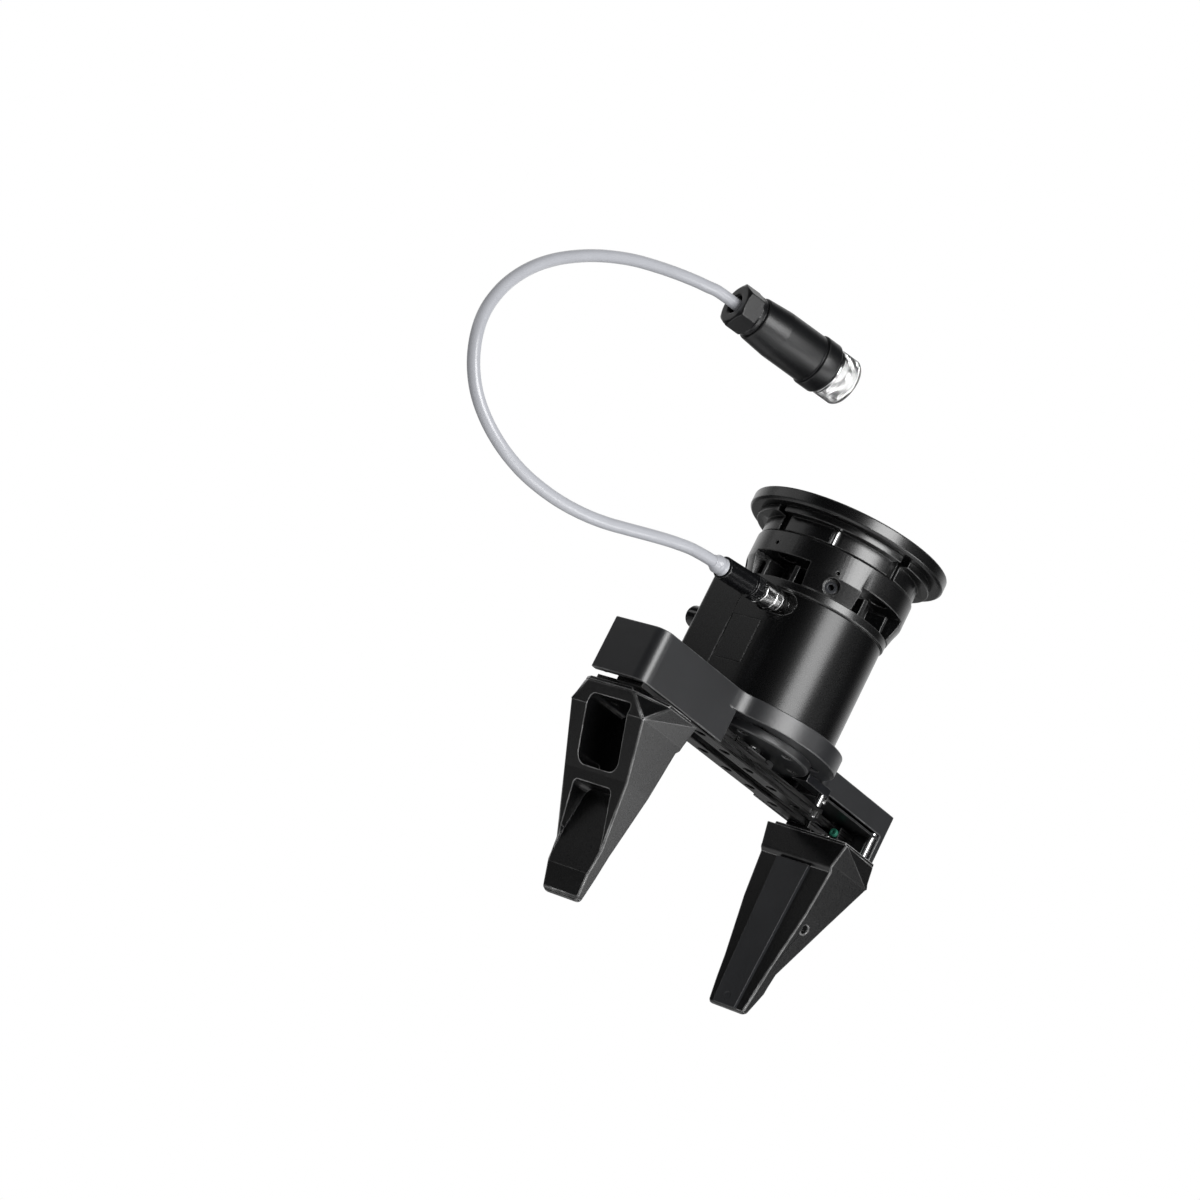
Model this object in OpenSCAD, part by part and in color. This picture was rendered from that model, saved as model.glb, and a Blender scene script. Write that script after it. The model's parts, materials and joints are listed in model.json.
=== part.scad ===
// Electric two finger parallel gripper.
// The origin is the centre of the robot-side face of the adapter ring. +Z points to the
// robot, the fingers hang towards -Z, and they open and close along X. Sizes in mm.
// The left half (-X) is modelled, and the right half is the same parts turned half round.

/* [Robot side] */
// Diameter of the adapter ring
ring_d = 75; // [74:0.5:78]
// Thickness of the adapter ring
ring_t = 5; // [4.5:0.5:6]
// Pitch circle of the robot flange bolts
flange_pcd = 50; // [49:0.5:51]
// Diameter of the flange bolt holes
flange_hole_d = 6.6; // [6.4:0.1:6.8]
// Diameter of the mounting collar
collar_d = 60; // [59.5:0.5:61]
// Opening angle of each spanner window in the collar
window_angle = 50; // [46:1:54]

/* [Body] */
// Diameter of the round front of the body
body_d = 54; // [53:0.5:55]
// Depth of the square back of the body, from the axis
body_back = 27.5; // [27:0.5:29]
// Where the rear cover joins the body shell
cover_joint = 10; // [9:0.5:11]
// Wall thickness of the shell and the cover
wall = 2.5; // [2.2:0.1:2.8]

/* [Base] */
// Diameter of the round middle of the base plate
disc_d = 63; // [62:0.5:64]
// Length of each arm, from the axis
arm_len = 77; // [77:0.5:79]
// Outer side of an arm, from the axis
arm_outer = 14; // [14:0.25:14.5]
// Inner side of an arm, from the axis
arm_inner = 10; // [9.5:0.25:10.5]
// Height of the skirt on the outer side of an arm
skirt_h = 19.2; // [19:0.1:19.4]

/* [Drive] */
// Module of the rack and pinion teeth
tooth_module = 0.5; // [0.5:0.05:0.5]
// Teeth on the pinion
pinion_teeth = 16; // [16:2:16]
// Travel of each jaw, from open to closed
jaw_travel = 47.4; // [40:0.1:47.4]
// Pitch of the fixing holes along a rail
rail_hole_pitch = 15; // [14:0.5:15]

/* [Fingers] */
// Distance of a finger's gripping side from the axis when open
finger_open = 48; // [48:0.5:50]
// Depth of a finger at its top
finger_depth = 23; // [22:0.5:24]
// Width of a finger at its top
finger_w_top = 39; // [38:0.5:40]
// Width of a finger at its tip
finger_w_tip = 17; // [17:0.1:18]
// Length of a finger
finger_len = 69.4; // [69:0.2:70]
// Width of a grip pad
pad_w = 15.4; // [15:0.1:16]

/* [Cable] */
// Diameter of the cable
cable_d = 4.3; // [4:0.1:4.6]
// Sides of the cable's tube
cable_sides = 10; // [8:1:12]

/* [Hidden] */
$fn = 96;

// Levels down the axis
z_lip = -ring_t - 2.5;
z_collar = -13;
z_window = -21.5;
z_band = -30;
z_body = -33.3;
z_base = -73.7;
z_disc = -80.8;
z_arm = z_base - skirt_h;
z_gear_cover = -84;
z_rack_top = -85.6;
z_rack = -88.2;
z_rail_top = -88.5;
z_rail = -93;
z_carriage = -94.4;
z_finger = -95.6;
z_tip = z_finger - finger_len;

body_r = body_d / 2;
disc_r = disc_d / 2;
collar_r = collar_d / 2;
eps = 0.01;
slide_gap = 0.3;

// Arms
skirt_end = 28.6;
cavity_end = 38;
end_wall = 3;
skirt_wall = 1.1;
inner_wall = 1.5;
arm_corner = 5;
arm_blend = 9;
arm_roof = 5;
z_inner_wall = z_base - 8.8;

// Rails, racks and pinion
pitch_r = tooth_module * pinion_teeth / 2;
tooth_pitch = PI * tooth_module;
addendum = 0.9 * tooth_module;
dedendum = 1.2 * tooth_module;
half_tooth = tooth_pitch / 4 - 0.06;
flank = tan(20);
rail_in = 4;
rail_out = 11;
rail_y = (rail_in + rail_out) / 2;
rail_end = 33;
rail_seat = 75.5;
groove_depth = 0.8;
groove_low = z_rail + 1;
groove_high = z_rail + 2.8;
rack_back = 7.6;
rack_reach = 5;
carriage_end = arm_len - end_wall - 0.4;
carriage_len = 23.6;
carriage_wall_len = 8.6;
rack_screws = [2.2, 6.4];
z_guard = z_disc - 3.6;
guard_screw_r = 0.9;
guard_points = [[-70.5, -10], [-42, -10], [-42, 5.5]];
standoff = [-72.3, 8.1];
stud_r = 0.9;
post_x = 35.5;
post_y = 9.4;
post_r = 1.4;

// Fingers, measured from the gripping side
neck_z = -104;
bend_z = -124;
slope_z = -147;
ramp_z = -155.5;
bend_t = 14.2;
slope_t = 6.1;
ramp_t = 5.9;
tip_t = 3.8;
neck_half = 17.4;
bend_half = 15.2;
slope_half = 11;
ramp_half = 9.9;
pad_proud = 0.4;
pad_seat = 1.2;
pad_top = -105.2;
pad_slant = 1.4;
pad_w_foot = 10.4;
pad_foot = -164.2;
pocket_t = 4.5;
lower_z = -127.5;

// Plugs
m8_mouth = [-32, -5, -38.8];
m8_tilt = 6;
m8_scoop = 8.6;
m12_pos = [-79.5, 25, 46];
m12_turn = -17.5;
m12_core_r = 4.4;

// Route of the cable, from the boot on the small plug to the mouth of the large one
route = [[-62.83, -5, -42.04], [-65.81, -5, -42.35], [-70.5, -5, -43], [-75.5, -5, -43.9],
    [-84, -4.5, -46.1], [-93, -4, -48.9], [-102.5, -3, -52], [-112, -2, -55],
    [-121.5, -1, -57.2], [-131.5, 0.5, -58.5], [-141.5, 2, -58.7], [-151, 3.5, -57.8],
    [-160.5, 5.5, -55.2], [-169, 8, -50.8], [-176, 10.5, -44.8], [-180.8, 13, -37],
    [-183, 15.5, -28], [-182.3, 18, -19], [-179.2, 20, -10], [-174.2, 22, -1.8],
    [-168, 23.5, 5.8], [-160.5, 25, 12.8], [-152.3, 26.3, 19], [-144, 27.4, 24.4],
    [-135.2, 28.4, 29.3], [-126.3, 29.1, 33.6], [-117, 29.6, 37.3], [-107.3, 29.7, 40.7],
    [-97.5, 29.1, 43.6], [-91.5, 28.3, 45], [-86.5, 27.2, 46], [-77, 24.2, 46]];

// ---------- shared shapes ----------

// A cylinder along X from x = a to x = b
module bar_x(r, a, b) {
    translate([a, 0, 0]) rotate([0, 90, 0]) cylinder(r = r, h = b - a);
}

// The small plug's axis: x = 0 at the socket's mouth, plus x into the body
module on_m8_axis() {
    translate(m8_mouth) rotate([0, -m8_tilt, 0]) children();
}

// A cylinder along Y from y = a to y = b
module bar_y(r, a, b) {
    translate([0, b, 0]) rotate([90, 0, 0]) cylinder(r = r, h = b - a);
}

// A box given by its two corners
module block(low, high) {
    translate(low) cube(high - low);
}

// The same parts for the other half of the gripper
module other_half() {
    rotate([0, 0, 180]) children();
}

// Copies round the axis, at each angle in the list
module around(angles) {
    for (a = angles) rotate([0, 0, a]) children();
}

// A rectangle with its corners rounded by true arcs
module rounded_plate(low, high, r) {
    translate([low[0] + r, low[1]]) square([high[0] - low[0] - 2 * r, high[1] - low[1]]);
    translate([low[0], low[1] + r]) square([high[0] - low[0], high[1] - low[1] - 2 * r]);
    for (x = [low[0] + r, high[0] - r])
        for (y = [low[1] + r, high[1] - r])
            translate([x, y]) circle(r);
}

// A socket cap screw, its head upwards and the underside of its head at z = 0
module cap_screw(r, length, head_r, head_h) {
    difference() {
        union() {
            translate([0, 0, -length]) cylinder(r = r, h = length, $fn = 32);
            cylinder(r = head_r, h = head_h, $fn = 32);
        }
        translate([0, 0, head_h * 0.4]) cylinder(r = head_r * 0.5, h = head_h, $fn = 6);
    }
}

// ---------- robot side ----------

module flange_holes(low, high) {
    around([0, 90, 180, 270])
        translate([flange_pcd / 2, 0, low - eps])
            cylinder(d = flange_hole_d, h = high - low + 2 * eps);
}

module adapter_ring() {
    rim = 0.8;
    color([0.06, 0.06, 0.07])
    difference() {
        rotate_extrude()
            polygon([[0, 0], [ring_d / 2 - rim / 2, 0], [ring_d / 2, -rim / 2],
                [ring_d / 2, -ring_t + rim], [ring_d / 2 - rim, -ring_t], [0, -ring_t]]);
        flange_holes(-ring_t, 0);
    }
}

// The lip and neck under the ring, with the keyways of the coupling
module coupling_neck() {
    neck_r = collar_r - 0.6;
    color([0.07, 0.07, 0.08])
    difference() {
        union() {
            translate([0, 0, z_lip]) cylinder(r = neck_r + 4, h = -ring_t - z_lip);
            translate([0, 0, z_collar]) cylinder(r = neck_r, h = z_lip - z_collar + eps);
        }
        flange_holes(z_collar, -ring_t);
        around([80.5, 170.5, 260.5, 350.5])
            translate([neck_r - 1.8, -1.85, z_collar - eps]) cube([8, 3.7, 9]);
        around([32.6, 212.6])
            translate([neck_r - 0.3, 0, z_collar - eps]) cylinder(r = 1.3, h = 9, $fn = 32);
    }
}

module dowel_pin() {
    color([0.75, 0.76, 0.78])
    around([32.6, 212.6])
        translate([collar_r - 0.9, 0, z_collar])
            cylinder(r = 1.25, h = 5.2, $fn = 32);
}

// The collar: a thick top plate, and below it four feet with a window between each pair
module mount_collar() {
    hub_r = 19;
    half = window_angle / 2;
    reach = collar_r + 5;
    color([0.08, 0.08, 0.09])
    difference() {
        rotate_extrude()
            polygon([[0, z_collar], [collar_r - 0.7, z_collar], [collar_r, z_collar - 0.7],
                [collar_r, z_collar - 10], [collar_r - 2, z_band], [hub_r, z_band],
                [hub_r, z_window], [0, z_window]]);
        flange_holes(z_window, z_collar);
        around([0, 90, 180, 270])
            translate([0, 0, z_band - eps])
                linear_extrude(z_window - z_band + eps)
                    polygon([[0, 0], [reach * cos(half), -reach * sin(half)],
                        [reach * cos(half), reach * sin(half)]]);
        around([45, 135, 225, 315]) {
            translate([0, 0, -26.4]) bar_x(2.2, 0, reach, $fn = 48);
            translate([0, 0, -26.4]) bar_x(2.9, collar_r - 2.4, reach, $fn = 48);
            translate([0, 0, -21.4]) bar_x(0.6, collar_r - 1.5, reach, $fn = 24);
        }
        around([40, 174])
            translate([0, 0, -18.2]) bar_x(0.7, collar_r - 1.5, reach, $fn = 24);
    }
}

module collar_screws() {
    color([0.2, 0.2, 0.22])
    around([45, 135, 225, 315])
        translate([0, 0, -26.4])
            difference() {
                bar_x(2.2, 19, collar_r - 2.6, $fn = 48);
                bar_x(1.2, collar_r - 5, collar_r, $fn = 6);
            }
}

// The spigot that the collar clamps, with the ribs seen through the windows
module hub_core() {
    rib_angle = 15;
    color([0.10, 0.10, 0.11])
    around([0, 90, 180, 270]) {
        for (s = [-1, 1])
            rotate([0, 0, s * rib_angle])
                block([17, -0.9, z_band + eps], [26.5, 0.9, z_window - 2]);
        translate([0, 0, z_body]) cylinder(r = 18.95, h = z_window - z_body);
    }
}

module top_band() {
    color([0.13, 0.13, 0.14])
    rotate_extrude()
        polygon([[19, z_body], [body_r + 0.2, z_body], [body_r + 0.7, z_body + 0.5],
            [body_r + 0.7, z_band], [19, z_band]]);
}

// ---------- body ----------

// Plan of the body, in the part that lies between two values of y
module body_plan(inset, from_y, to_y) {
    r = body_r - inset;
    corner = inset == 0 ? 3 : 1.5;
    intersection() {
        union() {
            circle(r);
            translate([-r, 0]) square([2 * r, body_back - inset - corner]);
            translate([corner - r, 0]) square([2 * (r - corner), body_back - inset]);
            for (x = [corner - r, r - corner])
                translate([x, body_back - inset - corner]) circle(corner);
        }
        translate([-100, from_y]) square([200, to_y - from_y]);
    }
}

body_bolts = [[-16, -16], [16, -16], [-20.7, 18.5], [20.7, 18.5]];
cover_bolts = [[-21.5, -39.5], [21.5, -39.5], [-21.5, -57.5], [21.5, -57.5]];

module bolt_bosses(points, height) {
    for (p = points)
        translate([p[0], p[1], z_base])
            cylinder(r = 4, h = height, $fn = 48);
}

module bolt_bores(points, r, low, high) {
    for (p = points)
        translate([p[0], p[1], low - eps])
            cylinder(r = r, h = high - low + 2 * eps, $fn = 32);
}

module body_shell() {
    color([0.08, 0.08, 0.09])
    difference() {
        union() {
            difference() {
                translate([0, 0, z_base])
                    linear_extrude(z_body - z_base) body_plan(0, -40, cover_joint);
                translate([0, 0, z_base - eps])
                    linear_extrude(z_body - z_base - wall)
                        body_plan(wall, -40, cover_joint + eps);
            }
            bolt_bosses([body_bolts[0], body_bolts[1]], 12);
            for (p = cover_bolts)
                translate([p[0], 0, p[1]]) bar_y(3.2, 3, cover_joint, $fn = 48);
            // Extra thickness behind the socket's scoop
            block([-24.6, -10.8, -44], [-21.4, 4, z_body - 1]);
        }
        bolt_bores([body_bolts[0], body_bolts[1]], 1.5, z_base, z_base + 9);
        for (p = cover_bolts)
            translate([p[0], 0, p[1]]) bar_y(1.25, 5, cover_joint + 1, $fn = 32);
        // The socket's bore, and an oval scoop round it
        on_m8_axis() {
            bar_x(3.95, m8_scoop - 1, 12);
            for (s = [-3.5, 3.5]) translate([0, s, 0]) bar_x(4.2, -8, m8_scoop);
            block([-8, -3.5, -4.2], [m8_scoop, 3.5, 4.2]);
        }
        block([-40, -3.5, -63], [-body_r + 0.3, cover_joint - 0.6, -46.5]);
    }
}

module rear_cover() {
    color([0.07, 0.07, 0.08])
    difference() {
        union() {
            difference() {
                translate([0, 0, z_base])
                    linear_extrude(z_body - z_base)
                        body_plan(0, cover_joint + 0.15, 60);
                translate([0, 0, z_base - eps])
                    linear_extrude(z_body - z_base - wall) body_plan(wall, 0, 60);
            }
            bolt_bosses([body_bolts[2], body_bolts[3]], 12);
            for (p = cover_bolts)
                translate([p[0], 0, p[1]])
                    bar_y(3.2, cover_joint + 0.15, body_back - 1, $fn = 48);
        }
        bolt_bores([body_bolts[2], body_bolts[3]], 1.5, z_base, z_base + 9);
        for (p = cover_bolts) {
            translate([p[0], 0, p[1]]) bar_y(1.25, 0, 40, $fn = 32);
            translate([p[0], 0, p[1]]) bar_y(2.3, body_back - 1.6, 40, $fn = 32);
        }
        translate([-20, 0, -49]) bar_y(3, 20, 40);
    }
}

module cover_screws() {
    color([0.3, 0.3, 0.32])
    for (p = cover_bolts)
        translate([p[0], body_back - 1.6, p[1]])
            rotate([-90, 0, 0]) cap_screw(1.25, 18, 2.2, 1.5);
}

module blank_label() {
    color([0.11, 0.11, 0.12])
    block([-body_r, -3.5, -63], [-body_r + 0.3, cover_joint - 0.6, -46.5]);
}

module data_socket() {
    color([0.7, 0.7, 0.72])
    on_m8_axis() {
        bar_x(3.95, 0, 12);
        bar_x(4.1, 5.1, m8_scoop);
    }
}

module port_cap() {
    color([0.06, 0.06, 0.07])
    translate([-20, 0, -49]) {
        bar_y(2.97, 23, body_back + eps);
        bar_y(4.1, body_back, body_back + 5.2);
        bar_y(3.6, body_back + 5.2 - eps, body_back + 6.2);
    }
}

module encoder() {
    color([0.2, 0.35, 0.25])
    translate([0, 0, -40]) cylinder(r = 15, h = 3);
}

module motor() {
    color([0.55, 0.56, 0.58])
    difference() {
        union() {
            translate([0, 0, -58]) cylinder(r = 17.2, h = 15);
            translate([0, 0, -43 - eps]) cylinder(r = 14, h = 3 + eps);
        }
        around([0 : 45 : 315])
            translate([17.6, 0, -54]) cylinder(r = 1.1, h = 8, $fn = 24);
    }
}

module gearbox() {
    color([0.62, 0.63, 0.65])
    difference() {
        translate([0, 0, z_base]) cylinder(r = 17.2, h = -58 - z_base);
        translate([0, 0, z_base - eps]) cylinder(r = 2.55, h = 6);
        for (z = [-62, -66])
            translate([0, 0, z])
                difference() {
                    cylinder(r = 20, h = 0.8);
                    translate([0, 0, -1]) cylinder(r = 16.6, h = 3);
                }
    }
}

module control_board() {
    color([0.1, 0.35, 0.2]) block([-17, 21, -68], [17, 22.6, -42]);
    color([0.1, 0.1, 0.1]) {
        block([-8, 19.4, -58], [2, 21, -48]);
        block([6, 19.8, -66], [14, 21, -60]);
        block([-15, 22.6 - eps, -60], [-10, 24, -45]);
    }
}

// ---------- base ----------

// Plan of the left arm, with its outer end corner well rounded
module arm_plan(from_x, to_x) {
    intersection() {
        union() {
            rounded_plate([-arm_len, -arm_outer], [20, arm_inner], arm_corner);
            rounded_plate([-arm_len, 0], [20, arm_inner], 0.8);
        }
        translate([from_x, -50]) square([to_x - from_x, 100]);
    }
}

// A concave fillet between an arm's side at distance side and the round disc
module blend_plan(side, r) {
    y = side + r;
    x = sqrt(pow(disc_r + r, 2) - y * y);
    t = disc_r / (disc_r + r);
    difference() {
        polygon([[-x, -side + 0.5], [-x, -side], [-x * t, -y * t], [-x * t + 3, -y * t + 3]]);
        translate([-x, -y]) circle(r);
    }
}

module base_half() {
    translate([0, 0, z_disc])
        linear_extrude(z_base - z_disc) {
            arm_plan(-arm_len, 0);
            blend_plan(arm_outer, arm_blend);
            mirror([0, 1]) blend_plan(arm_inner, arm_blend);
        }
    difference() {
        translate([0, 0, z_arm])
            linear_extrude(z_disc - z_arm + eps) arm_plan(-arm_len, -skirt_end);
        block([-cavity_end, -arm_outer + skirt_wall, z_arm - 1],
            [0, 40, z_disc]);
    }
}

module arm_cavity() {
    // Room for the rail, the rack and the carriage
    block([-arm_len + end_wall, -arm_outer + skirt_wall, z_arm - 1],
        [-cavity_end, arm_inner - inner_wall, z_base - arm_roof]);
    // The inner side is cut short, so that the rack of the other finger can pass
    block([-arm_len + end_wall, 0, z_arm - 1], [0, arm_inner + 1, z_inner_wall]);
    // Seat of the rail in the end wall
    block([-rail_seat, -rail_out, z_rail], [-arm_len + end_wall + 1, -rail_in, z_rail_top]);
    for (p = guard_points)
        translate([p[0], p[1], z_base - arm_roof - eps])
            cylinder(r = guard_screw_r, h = 3, $fn = 32);
}

module base_plate() {
    color([0.09, 0.09, 0.10])
    difference() {
        union() {
            translate([0, 0, z_disc]) cylinder(r = disc_r, h = z_base - z_disc);
            base_half();
            other_half() base_half();
        }
        arm_cavity();
        other_half() arm_cavity();
        translate([0, 0, z_disc - eps]) cylinder(r = 4, h = z_base - z_disc + 2 * eps);
        bolt_bores(body_bolts, 1.7, z_disc, z_base);
        bolt_bores(body_bolts, 3, z_disc, z_disc + 3.2);
        around([30 : 60 : 330])
            translate([18.5, 0, z_disc - eps]) cylinder(r = 1, h = 4, $fn = 32);
    }
}

module base_screws() {
    color([0.35, 0.35, 0.37])
    for (p = body_bolts)
        translate([p[0], p[1], z_disc + 3.2])
            mirror([0, 0, 1]) cap_screw(1.5, 12, 2.8, 3);
}

module gear_cover() {
    color([0.15, 0.15, 0.16])
    difference() {
        rotate_extrude()
            polygon([[5.5, z_gear_cover], [22.2, z_gear_cover], [22.7, z_gear_cover + 0.5],
                [22.7, z_disc], [5.5, z_disc]]);
        around([30 : 60 : 330]) {
            translate([18.5, 0, z_gear_cover - eps]) cylinder(r = 1.1, h = 6, $fn = 32);
            translate([18.5, 0, z_gear_cover - eps]) cylinder(r = 2, h = 1.4 + eps, $fn = 32);
        }
        for (s = [-1, 1])
            translate([s * 11, 0, z_gear_cover - eps]) cylinder(r = 0.8, h = 2.5, $fn = 32);
    }
}

module gear_cover_screws() {
    color([0.7, 0.7, 0.72])
    around([30 : 60 : 330])
        translate([18.5, 0, z_gear_cover + 1.4])
            mirror([0, 0, 1]) cap_screw(1, 5, 1.9, 1.2);
}

// ---------- drive ----------

module bearing(outer_r, inner_r, low, high) {
    shield = (outer_r - inner_r) * 0.28;
    rotate_extrude()
        polygon([[inner_r, low], [inner_r + shield, low], [inner_r + shield, low + 0.2],
            [outer_r - shield, low + 0.2], [outer_r - shield, low], [outer_r, low],
            [outer_r, high], [inner_r, high]]);
}

module upper_bearing() {
    color([0.75, 0.76, 0.78]) bearing(5.5, 2.55, z_gear_cover, z_gear_cover + 3);
}

module lower_bearing() {
    color([0.75, 0.76, 0.78]) bearing(3, 1.55, -90, -88.7);
}

// One pinion tooth as a trapezoid that points along +X
module pinion_tooth() {
    root_r = pitch_r - dedendum;
    tip_r = pitch_r + addendum;
    root_half = half_tooth + dedendum * flank * 0.6;
    tip_half = half_tooth - addendum * flank * 1.25;
    polygon([[root_r - 0.4, -root_half], [root_r, -root_half], [pitch_r, -half_tooth],
        [tip_r, -tip_half], [tip_r, tip_half], [pitch_r, half_tooth], [root_r, root_half],
        [root_r - 0.4, root_half]]);
}

module pinion() {
    color([0.6, 0.6, 0.62]) {
        translate([0, 0, z_rack])
            linear_extrude(z_rack_top - z_rack) {
                circle(pitch_r - dedendum);
                around([0 : 360 / pinion_teeth : 359]) pinion_tooth();
            }
        translate([0, 0, z_rack_top - eps]) cylinder(r = 3.1, h = 1.3);
        translate([0, 0, z_rack_top]) cylinder(r = 2.5, h = 16.5);
        translate([0, 0, -89.8]) cylinder(r = 1.5, h = 2);
    }
}

// The strap under the pinion that holds its lower bearing
module pinion_bridge() {
    color([0.12, 0.12, 0.13])
    difference() {
        union() {
            block([-12.5, -3.7, -90], [12.5, 3.7, -88.7]);
            for (s = [-1, 1])
                block([s * 11 - 1.5, -3.2, -88.7 - eps], [s * 11 + 1.5, 3.2, z_gear_cover]);
        }
        translate([0, 0, -91]) cylinder(r = 3, h = 4);
        for (s = [-1, 1])
            translate([s * 11, 0, -91]) cylinder(r = 0.8, h = 9, $fn = 32);
    }
}

// A rail, bored and grooved like a linear guide, its far end thinned for the hanger
module front_rail() {
    color([0.5, 0.5, 0.52])
    difference() {
        union() {
            block([-rail_seat, -rail_out, z_rail], [rail_end, -rail_in, z_rail_top]);
            block([rail_end - eps, -rail_out, -90.2], [post_x + 2.5, -rail_y, z_rail_top]);
        }
        for (side = [[-rail_out - 1, -rail_out + groove_depth],
                     [-rail_in - groove_depth, -rail_in + 1]])
            block([-rail_seat - 1, side[0], groove_low], [rail_end + 1, side[1], groove_high]);
        for (i = [0 : 6])
            translate([27 - i * rail_hole_pitch, -rail_y, z_rail - eps]) {
                cylinder(r = 1.2, h = 6, $fn = 32);
                cylinder(r = 2.1, h = 2, $fn = 32);
            }
        translate([post_x, -post_y, -91]) cylinder(r = post_r, h = 4, $fn = 48);
    }
}

module back_rail() {
    other_half() front_rail();
}

module front_rail_hanger() {
    color([0.3, 0.3, 0.32]) block([23, -rail_out, z_gear_cover], [37.4, -rail_in, z_disc]);
}

module back_rail_hanger() {
    other_half() front_rail_hanger();
}

// The posts that carry the far ends of the rails
module rail_posts() {
    color([0.72, 0.72, 0.74])
    around([0, 180])
        translate([post_x, -post_y, -92.6])
            cylinder(r = post_r, h = z_gear_cover + 92.6, $fn = 48);
}

module front_rail_nut() {
    color([0.8, 0.81, 0.83])
    difference() {
        translate([post_x, -post_y, -92.3]) cylinder(r = 2.3, h = 2.1, $fn = 6);
        translate([post_x, -post_y, -93]) cylinder(r = post_r, h = 4, $fn = 48);
    }
}

module back_rail_nut() {
    other_half() front_rail_nut();
}

// A thin plate on three spacers that keeps the rack's grease off the roof of the arm
module left_guard_plate() {
    color([0.16, 0.16, 0.17])
    difference() {
        union() {
            block([-arm_len + end_wall + 0.2, -arm_outer + skirt_wall + 0.1, z_guard],
                [-cavity_end - 0.6, arm_inner - 0.1, z_guard + 0.8]);
            for (p = guard_points)
                translate([p[0], p[1], z_guard + 0.8 - eps])
                    cylinder(r = 1.9, h = z_base - arm_roof - z_guard - 0.8 + eps, $fn = 32);
        }
        translate([standoff[0], standoff[1], z_guard - 1])
            cylinder(r = stud_r, h = 4, $fn = 32);
        for (p = guard_points)
            translate([p[0], p[1], z_guard - 1]) cylinder(r = guard_screw_r, h = 9, $fn = 32);
    }
}

module right_guard_plate() {
    other_half() left_guard_plate();
}

module guard_screws() {
    color([0.7, 0.7, 0.72])
    around([0, 180])
        for (p = guard_points)
            translate([p[0], p[1], z_guard])
                mirror([0, 0, 1]) cap_screw(guard_screw_r, 7.5, 1.6, 0.8);
}

module arm_standoffs() {
    color([0.8, 0.8, 0.82])
    around([0, 180])
        translate([standoff[0], standoff[1], 0]) {
            translate([0, 0, -92]) cylinder(r = 1.5, h = z_guard + 92, $fn = 48);
            translate([0, 0, z_guard - eps]) cylinder(r = stud_r, h = 1.7, $fn = 32);
            translate([0, 0, z_guard + 0.8]) cylinder(r = 1.65, h = 0.8, $fn = 48);
        }
}

// ---------- moving jaws ----------

// The carriage: a channel that hooks into the rail's grooves, and a wall for the rack
module left_carriage() {
    lip = 1.3;
    x0 = -carriage_end;
    x1 = -carriage_end + carriage_len;
    z_lip_top = -90.3;
    tongue = groove_depth - 0.35;
    outer = rail_out + slide_gap;
    inner = rail_in - slide_gap;
    color([0.45, 0.45, 0.47])
    difference() {
        union() {
            block([x0, -outer - lip, z_carriage], [x1, -0.5, z_rail - slide_gap]);
            for (side = [[-outer - lip, -outer], [-inner, -inner + lip]])
                block([x0, side[0], z_carriage], [x1, side[1], z_lip_top]);
            for (side = [[-outer - eps, -outer + slide_gap + tongue],
                         [-inner - slide_gap - tongue, -inner + eps]])
                block([x0, side[0], groove_low + slide_gap],
                    [x1, side[1], groove_high - slide_gap]);
            block([x0, -inner, z_carriage], [x0 + carriage_wall_len, -0.5, z_rack_top]);
        }
        for (x = rack_screws)
            translate([x0 + x, 0, -86.9]) bar_y(0.8, -inner - 1, -1.2, $fn = 32);
    }
}

module right_carriage() {
    other_half() left_carriage();
}

module left_end_cap() {
    x0 = -carriage_end + carriage_wall_len;
    color([0.16, 0.55, 0.42])
    difference() {
        translate([0, -2.2, -88.7]) bar_x(1.5, x0, x0 + 1.6);
        translate([0, -2.2, -88.7]) bar_x(0.6, x0 + 0.8, x0 + 2, $fn = 24);
    }
}

module right_end_cap() {
    other_half() left_end_cap();
}

// A rack: a bar with straight-flanked teeth along the stretch that meets the pinion
module left_rack() {
    inner = rail_in - slide_gap;
    root_y = -pitch_r - dedendum;
    tip_y = -pitch_r + addendum;
    root_half = half_tooth + dedendum * flank;
    tip_half = half_tooth - addendum * flank;
    count = ceil((jaw_travel + 6) / tooth_pitch);
    color([0.42, 0.42, 0.44])
    difference() {
        union() {
            block([-carriage_end, -rack_back, z_rack], [rack_reach, root_y, z_rack_top]);
            block([-carriage_end, root_y - eps, z_rack],
                [-carriage_end + carriage_wall_len, -inner, z_rack_top]);
            translate([0, 0, z_rack])
                linear_extrude(z_rack_top - z_rack)
                    for (i = [0 : count - 1])
                        translate([(2.5 - i) * tooth_pitch, 0])
                            polygon([[-root_half, root_y - 0.1], [-root_half, root_y],
                                [-tip_half, tip_y], [tip_half, tip_y], [root_half, root_y],
                                [root_half, root_y - 0.1]]);
        }
        // Slits and steps along the front of the bar
        for (x = [-23, -16, -8.6])
            block([x, -rack_back - 1, z_rack - 1], [x + 0.7, -rack_back + 0.9, z_rack_top + 1]);
        block([-15.3, -rack_back - 1, z_rack - 1], [-8.6, -rack_back + 0.5, z_rack + 0.7]);
        block([-7.9, -rack_back - 1, z_rack_top - 0.8],
            [rack_reach - 1.5, -rack_back + 0.7, z_rack_top + 1]);
        for (x = rack_screws)
            translate([-carriage_end + x, 0, -86.9]) {
                bar_y(0.85, -10, 0, $fn = 32);
                bar_y(1.15, -10, -rack_back + 0.8, $fn = 32);
            }
    }
}

module right_rack() {
    other_half() left_rack();
}

module left_rack_screws() {
    color([0.75, 0.75, 0.77])
    for (x = rack_screws)
        translate([-carriage_end + x, -rack_back + 0.8, -86.9])
            rotate([90, 0, 0]) cap_screw(0.8, 5, 1.1, 0.75);
}

module right_rack_screws() {
    other_half() left_rack_screws();
}

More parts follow.
